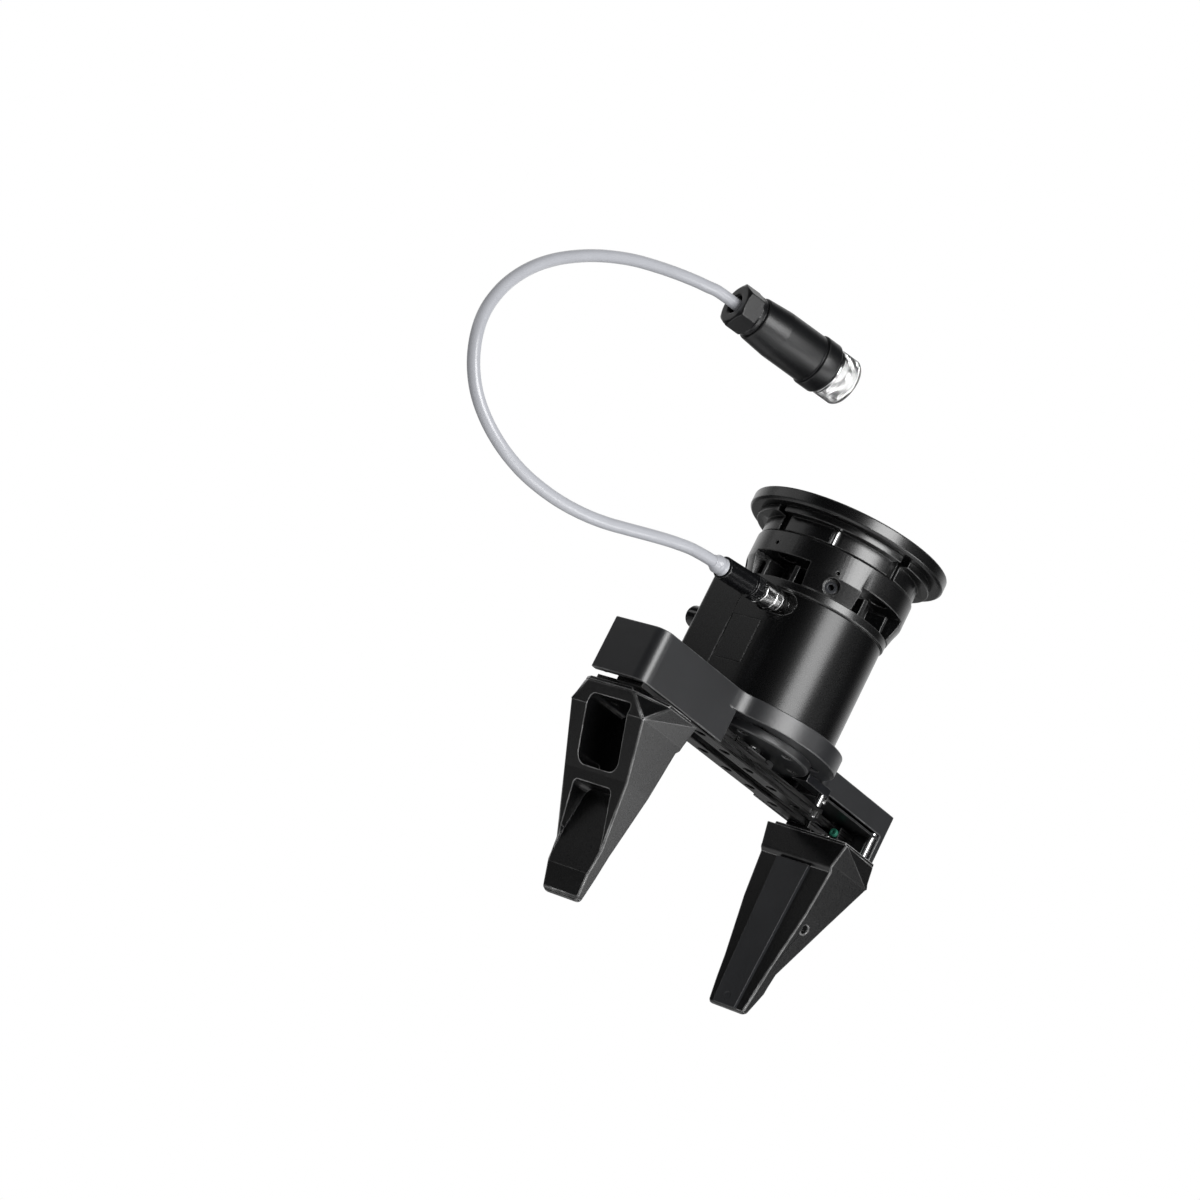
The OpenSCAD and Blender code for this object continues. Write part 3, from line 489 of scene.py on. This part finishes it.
def add_colour_mix(nodes, links, share, first, second):
    """A mix of two colours, each a socket or a plain colour. Gives the mix's socket."""
    mix = nodes.new("ShaderNodeMix")
    mix.data_type = "RGBA"
    links.new(share, mix.inputs[0])
    for socket, colour in zip(mix.inputs[6:8], (first, second)):
        if isinstance(colour, tuple):
            socket.default_value = colour
        else:
            links.new(colour, socket)
    return mix.outputs[2]


def make_edge_rub_and_highlight():
    """Mask of the outer edges, broken up by noise, that the finishes paint lighter, partly as
    wear and partly as a painted highlight, and the normal of the rounded edge.

    The shading normal of a rounded edge differs from the flat one only beside an
    edge, so one minus their dot product is bright there. Inner corners are shaded by
    their own walls and are left out by that.
    """
    group = new_group(
        "edge_rub_and_highlight",
        [("Radius", FLOAT, 0.0005), ("Breakup", FLOAT, 220.0), ("Strength", FLOAT, 1.0)],
        [("Mask", FLOAT), ("Normal", VECTOR)],
    )
    nodes, links = group.nodes, group.links
    inputs, outputs = nodes.new("NodeGroupInput"), nodes.new("NodeGroupOutput")
    bevel = nodes.new("ShaderNodeBevel")
    bevel.samples = 4
    links.new(inputs.outputs["Radius"], bevel.inputs["Radius"])
    geometry = nodes.new("ShaderNodeNewGeometry")
    dot = nodes.new("ShaderNodeVectorMath")
    dot.operation = "DOT_PRODUCT"
    links.new(bevel.outputs[0], dot.inputs[0])
    links.new(geometry.outputs["Normal"], dot.inputs[1])
    away = add_math(nodes, links, "SUBTRACT", 1.0, dot.outputs["Value"])
    near_edge = add_math(nodes, links, "MULTIPLY", away, RUB_AND_HIGHLIGHT_GAIN, clamp=True)
    open_air = nodes.new("ShaderNodeAmbientOcclusion")
    open_air.samples = 4
    open_air.only_local = True
    open_air.inputs["Distance"].default_value = RUB_AND_HIGHLIGHT_CORNER
    outer = add_range(nodes, links, open_air.outputs["AO"], 0.8, 0.97)
    edge = add_math(nodes, links, "MULTIPLY", near_edge, outer)
    place = nodes.new("ShaderNodeTexCoord")
    noise = add_noise(nodes, links, place.outputs["Object"], inputs.outputs["Breakup"], 3.0)
    patchy = add_range(nodes, links, noise, 0.42, 0.66, to=(RUB_AND_HIGHLIGHT_EVEN, 1.0))
    # The edges to paint lighter, partly as wear and partly as a painted highlight
    patchy_rub_and_highlight = add_math(nodes, links, "MULTIPLY", edge, patchy)
    mask = add_math(nodes, links, "MULTIPLY", patchy_rub_and_highlight, inputs.outputs["Strength"], clamp=True)
    links.new(mask, outputs.inputs["Mask"])
    links.new(bevel.outputs[0], outputs.inputs["Normal"])
    return group


def make_fine_grain():
    """Colour, roughness and height that vary like a blasted or moulded surface.

    A coarse noise clouds the colour a little, and a fine one gives the roughness and
    the grain's height.
    """
    group = new_group(
        "fine_grain",
        [
            ("Dark", COLOUR, (0.01, 0.01, 0.01, 1)),
            ("Light", COLOUR, (0.02, 0.02, 0.02, 1)),
            ("Smooth", FLOAT, 0.3),
            ("Rough", FLOAT, 0.4),
            ("Cloud Scale", FLOAT, 60.0),
            ("Grain Scale", FLOAT, 4000.0),
        ],
        [("Color", COLOUR), ("Roughness", FLOAT), ("Height", FLOAT)],
    )
    nodes, links = group.nodes, group.links
    inputs, outputs = nodes.new("NodeGroupInput"), nodes.new("NodeGroupOutput")
    place = nodes.new("ShaderNodeTexCoord").outputs["Object"]
    clouds = add_noise(nodes, links, place, inputs.outputs["Cloud Scale"], 4.0)
    grain = add_noise(nodes, links, place, inputs.outputs["Grain Scale"], 2.0)
    spread = add_range(nodes, links, clouds, 0.3, 0.7)
    colour = add_colour_mix(nodes, links, spread, inputs.outputs["Dark"], inputs.outputs["Light"])
    between = (inputs.outputs["Smooth"], inputs.outputs["Rough"])
    rough = add_range(nodes, links, grain, 0.3, 0.7, to=between)
    links.new(colour, outputs.inputs["Color"])
    links.new(rough, outputs.inputs["Roughness"])
    links.new(grain, outputs.inputs["Height"])
    return group


def make_tool_marks():
    """Height and mask of fine lines left by turning or grinding.

    The place is stretched along one axis of the piece before a fine noise reads it, so
    that the noise runs out into lines.
    """
    group = new_group(
        "tool_marks",
        [("Stretch", VECTOR, (1.0, 1.0, 1.0)), ("Scale", FLOAT, 1500.0)],
        [("Height", FLOAT), ("Mask", FLOAT)],
    )
    nodes, links = group.nodes, group.links
    inputs, outputs = nodes.new("NodeGroupInput"), nodes.new("NodeGroupOutput")
    place = nodes.new("ShaderNodeTexCoord")
    scaled = nodes.new("ShaderNodeVectorMath")
    scaled.operation = "MULTIPLY"
    links.new(place.outputs["Object"], scaled.inputs[0])
    links.new(inputs.outputs["Stretch"], scaled.inputs[1])
    noise = add_noise(nodes, links, scaled.outputs[0], inputs.outputs["Scale"], 3.0)
    links.new(noise, outputs.inputs["Height"])
    links.new(add_range(nodes, links, noise, 0.35, 0.65), outputs.inputs["Mask"])
    return group


EDGE_RUB_AND_HIGHLIGHT = make_edge_rub_and_highlight()
FINE_GRAIN = make_fine_grain()
TOOL_MARKS = make_tool_marks()

# ---------------------------------------------------------------- materials


def new_material(name):
    """A material with its nodes, links and main shader."""
    material = bpy.data.materials.new(name)
    material.use_nodes = True
    tree = material.node_tree
    return material, tree.nodes, tree.links, tree.nodes["Principled BSDF"]


def group_node(material, group, **values):
    """A group placed in a material, its inputs set by name."""
    node = material.node_tree.nodes.new("ShaderNodeGroup")
    node.node_tree = group
    for label, value in values.items():
        node.inputs[label.replace("_", " ")].default_value = value
    return node


def add_bump(nodes, links, shader, height, strength, distance, normal=None):
    """A bump of that height on the shader, over a given normal if there is one."""
    bump = nodes.new("ShaderNodeBump")
    bump.inputs["Strength"].default_value = strength
    bump.inputs["Distance"].default_value = distance
    links.new(height, bump.inputs["Height"])
    if normal is not None:
        links.new(normal, bump.inputs["Normal"])
    links.new(bump.outputs[0], shader.inputs["Normal"])


def grey(level, tint=(1.0, 1.0, 1.0)):
    """A grey of that level, tinted, as a colour with full alpha."""
    return (level * tint[0], level * tint[1], level * tint[2], 1.0)


# The slightly blue tint of the black coatings
COOL = (0.93, 0.98, 1.12)


def coated(
    name, dark, light, smooth, rough, grain, bump, specular=0.35, tint=COOL,
    metal=0.0, rub_and_highlight_strength=0.0, rub_and_highlight_level=0.22, rub_and_highlight_radius=0.4 * MM, clouds=60.0,
):
    """A coated, moulded or bare finish: grain over the surface, and its outer edges painted
    lighter, partly as wear and partly as a painted highlight.
    """
    material, nodes, links, shader = new_material(name)
    shader.inputs["Metallic"].default_value = metal
    shader.inputs["Specular IOR Level"].default_value = specular
    surface = group_node(
        material, FINE_GRAIN, Dark=grey(dark, tint), Light=grey(light, tint),
        Smooth=smooth, Rough=rough, Cloud_Scale=clouds, Grain_Scale=grain,
    )
    colour, normal = surface.outputs["Color"], None
    # Outer edges painted lighter: partly wear, partly a painted highlight
    if rub_and_highlight_strength > 0.0:
        edges = group_node(material, EDGE_RUB_AND_HIGHLIGHT, Radius=rub_and_highlight_radius, Strength=rub_and_highlight_strength)
        colour = add_colour_mix(nodes, links, edges.outputs["Mask"], colour, grey(rub_and_highlight_level))
        normal = edges.outputs["Normal"]
    links.new(colour, shader.inputs["Base Color"])
    links.new(surface.outputs["Roughness"], shader.inputs["Roughness"])
    add_bump(nodes, links, shader, surface.outputs["Height"], bump, 0.2 * MM, normal)
    return material


def machined(name, dark, light, smooth, rough, stretch):
    """Bare metal with fine lines from its tool."""
    material, nodes, links, shader = new_material(name)
    shader.inputs["Metallic"].default_value = 1.0
    marks = group_node(material, TOOL_MARKS, Stretch=stretch)
    mask = marks.outputs["Mask"]
    colour = add_colour_mix(nodes, links, mask, grey(dark), grey(light))
    links.new(colour, shader.inputs["Base Color"])
    roughness = add_range(nodes, links, mask, 0.0, 1.0, to=(smooth, rough))
    links.new(roughness, shader.inputs["Roughness"])
    add_bump(nodes, links, shader, marks.outputs["Height"], 0.05, 0.1 * MM)
    return material


# Each slot's finish: darkest and lightest level, least and most roughness, then the
# grain's scale, bump and specular level of a coating, or the stretch of tool marks. The
# edge values paint the outer edges lighter, partly as wear and partly as a painted highlight
FINISHES = {
    "ring_black": coated("ring_black", 0.0010, 0.0016, 0.24, 0.30, 5000, 0.02, 0.9, rub_and_highlight_strength=0.6),
    "collar_black": coated("collar_black", 0.0010, 0.0016, 0.24, 0.32, 4500, 0.03, 0.9, rub_and_highlight_strength=0.7),
    "body_black": coated("body_black", 0.0010, 0.0016, 0.25, 0.31, 3800, 0.04, 0.55, rub_and_highlight_strength=0.5),
    "base_black": coated("base_black", 0.009, 0.013, 0.32, 0.40, 3800, 0.05, 0.9, rub_and_highlight_strength=0.9,
                         rub_and_highlight_level=0.3),
    "dark_screws": coated("dark_screws", 0.02, 0.035, 0.28, 0.42, 3000, 0.05, metal=0.8, rub_and_highlight_strength=0.8,
                          rub_and_highlight_level=0.4),
    "bright_steel": machined("bright_steel", 0.45, 0.55, 0.2, 0.32, (1.0, 1.0, 0.15)),
    "drive_steel": machined("drive_steel", 0.05, 0.085, 0.26, 0.40, (0.06, 1.0, 1.0)),
    "socket_metal": machined("socket_metal", 0.5, 0.6, 0.18, 0.30, (1.0, 0.2, 0.2)),
    "black_plastic": coated("black_plastic", 0.003, 0.005, 0.14, 0.22, 2600, 0.02, 1.0),
    "board_green": coated("board_green", 0.04, 0.07, 0.4, 0.5, 2000, 0.03, tint=(0.4, 1.6, 0.8)),
    "motor_case": machined("motor_case", 0.4, 0.5, 0.25, 0.4, (1.0, 1.0, 0.08)),
    "guard_grey": coated("guard_grey", 0.004, 0.007, 0.32, 0.44, 3000, 0.04, 0.7, rub_and_highlight_strength=0.5),
    "cap_green": coated("cap_green", 0.12, 0.18, 0.35, 0.45, 2500, 0.04, tint=(0.25, 1.5, 1.0)),
    # The jaws' edges get the lightest edge grey: partly wear, mostly a painted highlight
    "jaw_black": coated("jaw_black", 0.0016, 0.0026, 0.26, 0.34, 3600, 0.04, 0.9, rub_and_highlight_strength=1.0,
                        rub_and_highlight_level=0.6, rub_and_highlight_radius=0.0005),
    "pad_rubber": coated("pad_rubber", 0.012, 0.017, 0.34, 0.44, 2600, 0.06, specular=0.8),
    "cable_grey": coated("cable_grey", 0.38, 0.40, 0.28, 0.28, 1800, 0.0, specular=0.8,
                         tint=(0.96, 0.98, 1.05), clouds=140.0),
    "plug_chrome": machined("plug_chrome", 0.72, 0.82, 0.14, 0.24, (1.0, 1.0, 1.0)),
    "plug_black": coated("plug_black", 0.003, 0.005, 0.30, 0.42, 2600, 0.06, 0.6, rub_and_highlight_strength=0.3),
}

slot_of = {row["node"]: row["material_slot"] for row in frame["record"]["subparts"]}


def body_of(node):
    """The name of the body that holds a solid."""
    bodies = frame["record"]["behaviour"]["bodies"]
    return next(name for name, nodes in bodies.items() if node in nodes)


def finish_with(piece, slot):
    """The piece's only material is the finish of that slot."""
    piece.data.materials.clear()
    piece.data.materials.append(FINISHES[slot])


for dressed in [cable, *small_plug, *large_plug]:
    finish_with(dressed, dressed["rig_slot"])

# ---------------------------------------------------------------- toothed strips


def add_toothed_strip(name, body, half_turn):
    """A low strip on a jaw plate with teeth along X, between the finger and the rail.

    Its top is the strip's middle height plus the tooth depth times a sine of x, made
    1.6 times as steep and cut off at 1 either way, over a flat bottom. The right jaw's
    strip is the left one after half a turn about Z.
    """
    x = np.linspace(*STRIP_X, 153)
    wave = np.sin(2 * math.pi * x / STRIP_TOOTH_PITCH)
    top = STRIP_MIDDLE + STRIP_TOOTH_DEPTH * np.clip(1.6 * wave, -1.0, 1.0)
    bottom = np.full_like(x, STRIP_BOTTOM)
    front, back = STRIP_Y
    rows = [(front, top), (back, top), (back, bottom), (front, bottom)]
    points = np.vstack([np.stack([x, np.full_like(x, y), z], axis=-1) for y, z in rows]) * MM
    if half_turn:
        points[:, :2] *= -1.0
    count = len(x)
    i, row = np.meshgrid(np.arange(count - 1), np.arange(4), indexing="ij")
    after = (row + 1) % 4
    skin = np.stack(
        [row * count + i, row * count + i + 1, after * count + i + 1, after * count + i], axis=-1
    ).reshape(-1, 4)
    ends = np.arange(4) * count
    strip = new_piece(name, points, np.vstack([skin, ends[None], ends[None] + count - 1]), body)
    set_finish(strip, "drive_steel")
    finish_with(strip, "drive_steel")


add_toothed_strip("left_toothed_strip", body_of("left_jaw_plate"), False)
add_toothed_strip("right_toothed_strip", body_of("right_jaw_plate"), True)

# ---------------------------------------------------------------- solids with softened edges

# The width of each solid's rounded edges, in mm
BEVELS = {
    "adapter_ring": 0.30, "coupling_neck": 0.20, "mount_collar": 0.22, "top_band": 0.12,
    "body_shell": 0.30, "rear_cover": 0.35, "blank_label": 0.06, "port_cap": 0.40,
    "base_plate": 0.35, "gear_cover": 0.20, "pinion_bridge": 0.25, "hub_core": 0.15,
    "front_rail": 0.18, "back_rail": 0.18, "front_rail_hanger": 0.2, "back_rail_hanger": 0.2,
    "left_carriage": 0.15, "right_carriage": 0.15, "left_jaw_plate": 0.15, "right_jaw_plate": 0.15,
    "left_finger": 0.6, "right_finger": 0.6, "left_pad": 0.2, "right_pad": 0.2,
    "left_rack": 0.06, "right_rack": 0.06, "left_guard_plate": 0.1, "right_guard_plate": 0.1,
    "left_end_cap": 0.2, "right_end_cap": 0.2, "data_socket": 0.12,
}

# The largest angle in degrees between two flats of one curved face, and for the
# solids made of large flats the angle from which their edges are kept crisp
CURVE_STEP = 9.0
FACET_ANGLE = {"left_finger": 13.0, "right_finger": 13.0}
# A finger's edges past this angle in degrees are rounded, apart from those of its
# openings, which lie further out than the x, nearer the middle than the y and between
# the heights given here, in mm
FINGER_EDGE = 25.0
OPENING_X, OPENING_Y, OPENING_Z = 49.5, 10.4, (-155.4, -99.0)
# Points nearer than this are one, and faces flatter than this angle in degrees are one
SAME_POINT = 0.0002 * MM
SAME_FLAT = 0.4


def is_rounded(node, edge):
    """Whether the edge gets rounded: any true edge, but none of a finger's openings."""
    angle = edge.calc_face_angle_signed(0.0)
    if node not in FACET_ANGLE:
        return abs(angle) > math.radians(CURVE_STEP)
    low, high = OPENING_Z
    at_opening = all(
        abs(v.co.x) > OPENING_X * MM
        and abs(v.co.y) < OPENING_Y * MM
        and low * MM < v.co.z < high * MM
        for v in edge.verts
    )
    return angle > math.radians(FINGER_EDGE) and not at_opening


def soften_edges(node, width):
    """A copy of a solid with its doubles merged and its edges rounded.

    The triangles of each flat are joined first, but not on the fingers.
    """
    mesh = frame["nodes"][node].data.copy()
    shape = bmesh.new()
    shape.from_mesh(mesh)
    bmesh.ops.remove_doubles(shape, verts=shape.verts, dist=SAME_POINT)
    if node not in FACET_ANGLE:
        bmesh.ops.dissolve_limit(
            shape, angle_limit=math.radians(SAME_FLAT), verts=shape.verts, edges=shape.edges
        )
    weight = shape.edges.layers.float.new("bevel_weight_edge")
    for edge in shape.edges:
        edge[weight] = float(is_rounded(node, edge))
    shape.to_mesh(mesh)
    shape.free()
    mesh.name = node + "_soft"
    mesh.shade_smooth()
    mesh.set_sharp_from_angle(angle=math.radians(FACET_ANGLE.get(node, CURVE_STEP)))
    piece = bpy.data.objects.new(node + "_soft", mesh)
    scene.collection.objects.link(piece)
    bevel = piece.modifiers.new("edges", "BEVEL")
    bevel.width = width * MM
    bevel.segments = 2
    bevel.limit_method = "WEIGHT"
    bevel.use_clamp_overlap = False
    bevel.harden_normals = True
    bevel.miter_outer = "MITER_ARC"
    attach(piece, body_of(node))
    stand_for(piece, node, slot_of[node])
    finish_with(piece, slot_of[node])


for solid, shown in frame["nodes"].items():
    if solid in BEVELS:
        soften_edges(solid, BEVELS[solid])
    elif not shown.hide_render:
        finish_with(shown, slot_of[solid])

# ---------------------------------------------------------------- stage

# The world's strength on surfaces, and in gloss where no backdrop is
WORLD_LIGHT = 0.5
GLOSS_FRONT = 0.004
# The direction of the white backdrop's middle
BACKDROP = (0.677, 0.703, 0.216)
FLOOR_LEVEL = -0.42
FLOOR_SOLID = 0.2
FLOOR_GONE = 0.8
FLOOR_WHITE = 0.8
# Each lamp: its direction and distance from the gripper's middle, its width and height
# in metres, and its power in watts
LAMP_TARGET = (0.0, 0.0, -0.07)
LAMPS = {
    "key": ((-0.28, -0.93, 0.26), 1.0, (0.54, 0.6), 8.5),
    "side": ((0.44, -0.88, -0.17), 1.0, (0.44, 0.5), 2.7),
    "low": ((0.05, -0.86, -0.50), 1.0, (0.5, 0.4), 2.0),
    "back_high": ((-0.64, 0.66, 0.35), 1.2, (1.0, 0.30), 0.65),
    "back_low": ((-0.64, 0.66, -0.40), 1.2, (1.0, 0.30), 0.14),
}


def add_world():
    """Soft even light for the surfaces and white where the camera or glass looks.

    Gloss sees the white backdrop behind the gripper, which fades with the angle from
    its middle and towards the floor, and a dark room in front of the gripper.
    """
    world = bpy.data.worlds.new("studio")
    scene.world = world
    world.use_nodes = True
    nodes, links = world.node_tree.nodes, world.node_tree.links
    background = nodes["Background"]
    background.inputs["Color"].default_value = (1.0, 1.0, 1.0, 1.0)
    place = nodes.new("ShaderNodeTexCoord")
    facing = nodes.new("ShaderNodeVectorMath")
    facing.operation = "DOT_PRODUCT"
    facing.inputs[1].default_value = BACKDROP
    links.new(place.outputs["Generated"], facing.inputs[0])
    sweep = add_range(nodes, links, facing.outputs["Value"], 0.40, 1.0, smooth=True)
    height = nodes.new("ShaderNodeSeparateXYZ")
    links.new(place.outputs["Generated"], height.inputs[0])
    above = add_range(nodes, links, height.outputs["Z"], -0.3, 0.2, to=(0.12, 1.0), smooth=True)
    white = add_math(nodes, links, "MULTIPLY", sweep, above)
    gloss = add_math(nodes, links, "MAXIMUM", white, GLOSS_FRONT)
    path = nodes.new("ShaderNodeLightPath")
    strength = WORLD_LIGHT
    for ray, seen in (("Is Glossy Ray", gloss), ("Is Transmission Ray", 1.0),
                      ("Is Camera Ray", 1.0)):
        mix = nodes.new("ShaderNodeMix")
        mix.data_type = "FLOAT"
        links.new(path.outputs[ray], mix.inputs[0])
        for socket, value in ((mix.inputs[2], strength), (mix.inputs[3], seen)):
            if isinstance(value, float):
                socket.default_value = value
            else:
                links.new(value, socket)
        strength = mix.outputs[0]
    links.new(strength, background.inputs["Strength"])


def add_lamp(name, toward, distance, size, power):
    """A soft rectangular lamp that faces the middle of the gripper."""
    d, side, up = axis_frame(toward)
    data = bpy.data.lights.new(name, "AREA")
    data.shape = "RECTANGLE"
    data.size, data.size_y = size
    data.energy = power
    lamp = bpy.data.objects.new(name, data)
    scene.collection.objects.link(lamp)
    rows = Matrix((tuple(side), tuple(up), tuple(d))).transposed()
    lamp.matrix_world = Matrix.Translation(LAMP_TARGET + distance * d) @ rows.to_4x4()


def add_floor():
    """A plain pale floor, well below the gripper, that fades out around it.

    It is opaque up to FLOOR_SOLID from the axis and gone at FLOOR_GONE.
    """
    mesh = bpy.data.meshes.new("floor")
    far = FLOOR_GONE
    corners = [(x, y, FLOOR_LEVEL) for x, y in ((-far, -far), (far, -far), (far, far), (-far, far))]
    mesh.from_pydata(corners, [], [(0, 1, 2, 3)])
    floor = bpy.data.objects.new("floor", mesh)
    scene.collection.objects.link(floor)
    material, nodes, links, shader = new_material("floor_white")
    shader.inputs["Base Color"].default_value = grey(FLOOR_WHITE)
    shader.inputs["Roughness"].default_value = 0.9
    shader.inputs["Specular IOR Level"].default_value = 0.0
    place = nodes.new("ShaderNodeTexCoord")
    flat = nodes.new("ShaderNodeVectorMath")
    flat.operation = "MULTIPLY"
    flat.inputs[1].default_value = (1.0, 1.0, 0.0)
    away = nodes.new("ShaderNodeVectorMath")
    away.operation = "LENGTH"
    links.new(place.outputs["Object"], flat.inputs[0])
    links.new(flat.outputs[0], away.inputs[0])
    reach = away.outputs["Value"]
    fade = add_range(nodes, links, reach, FLOOR_SOLID, FLOOR_GONE, to=(1.0, 0.0), smooth=True)
    links.new(fade, shader.inputs["Alpha"])
    mesh.materials.append(material)


add_world()
add_floor()
for lamp_name, lamp_values in LAMPS.items():
    add_lamp(lamp_name, *lamp_values)

scene.view_settings.view_transform = "Standard"
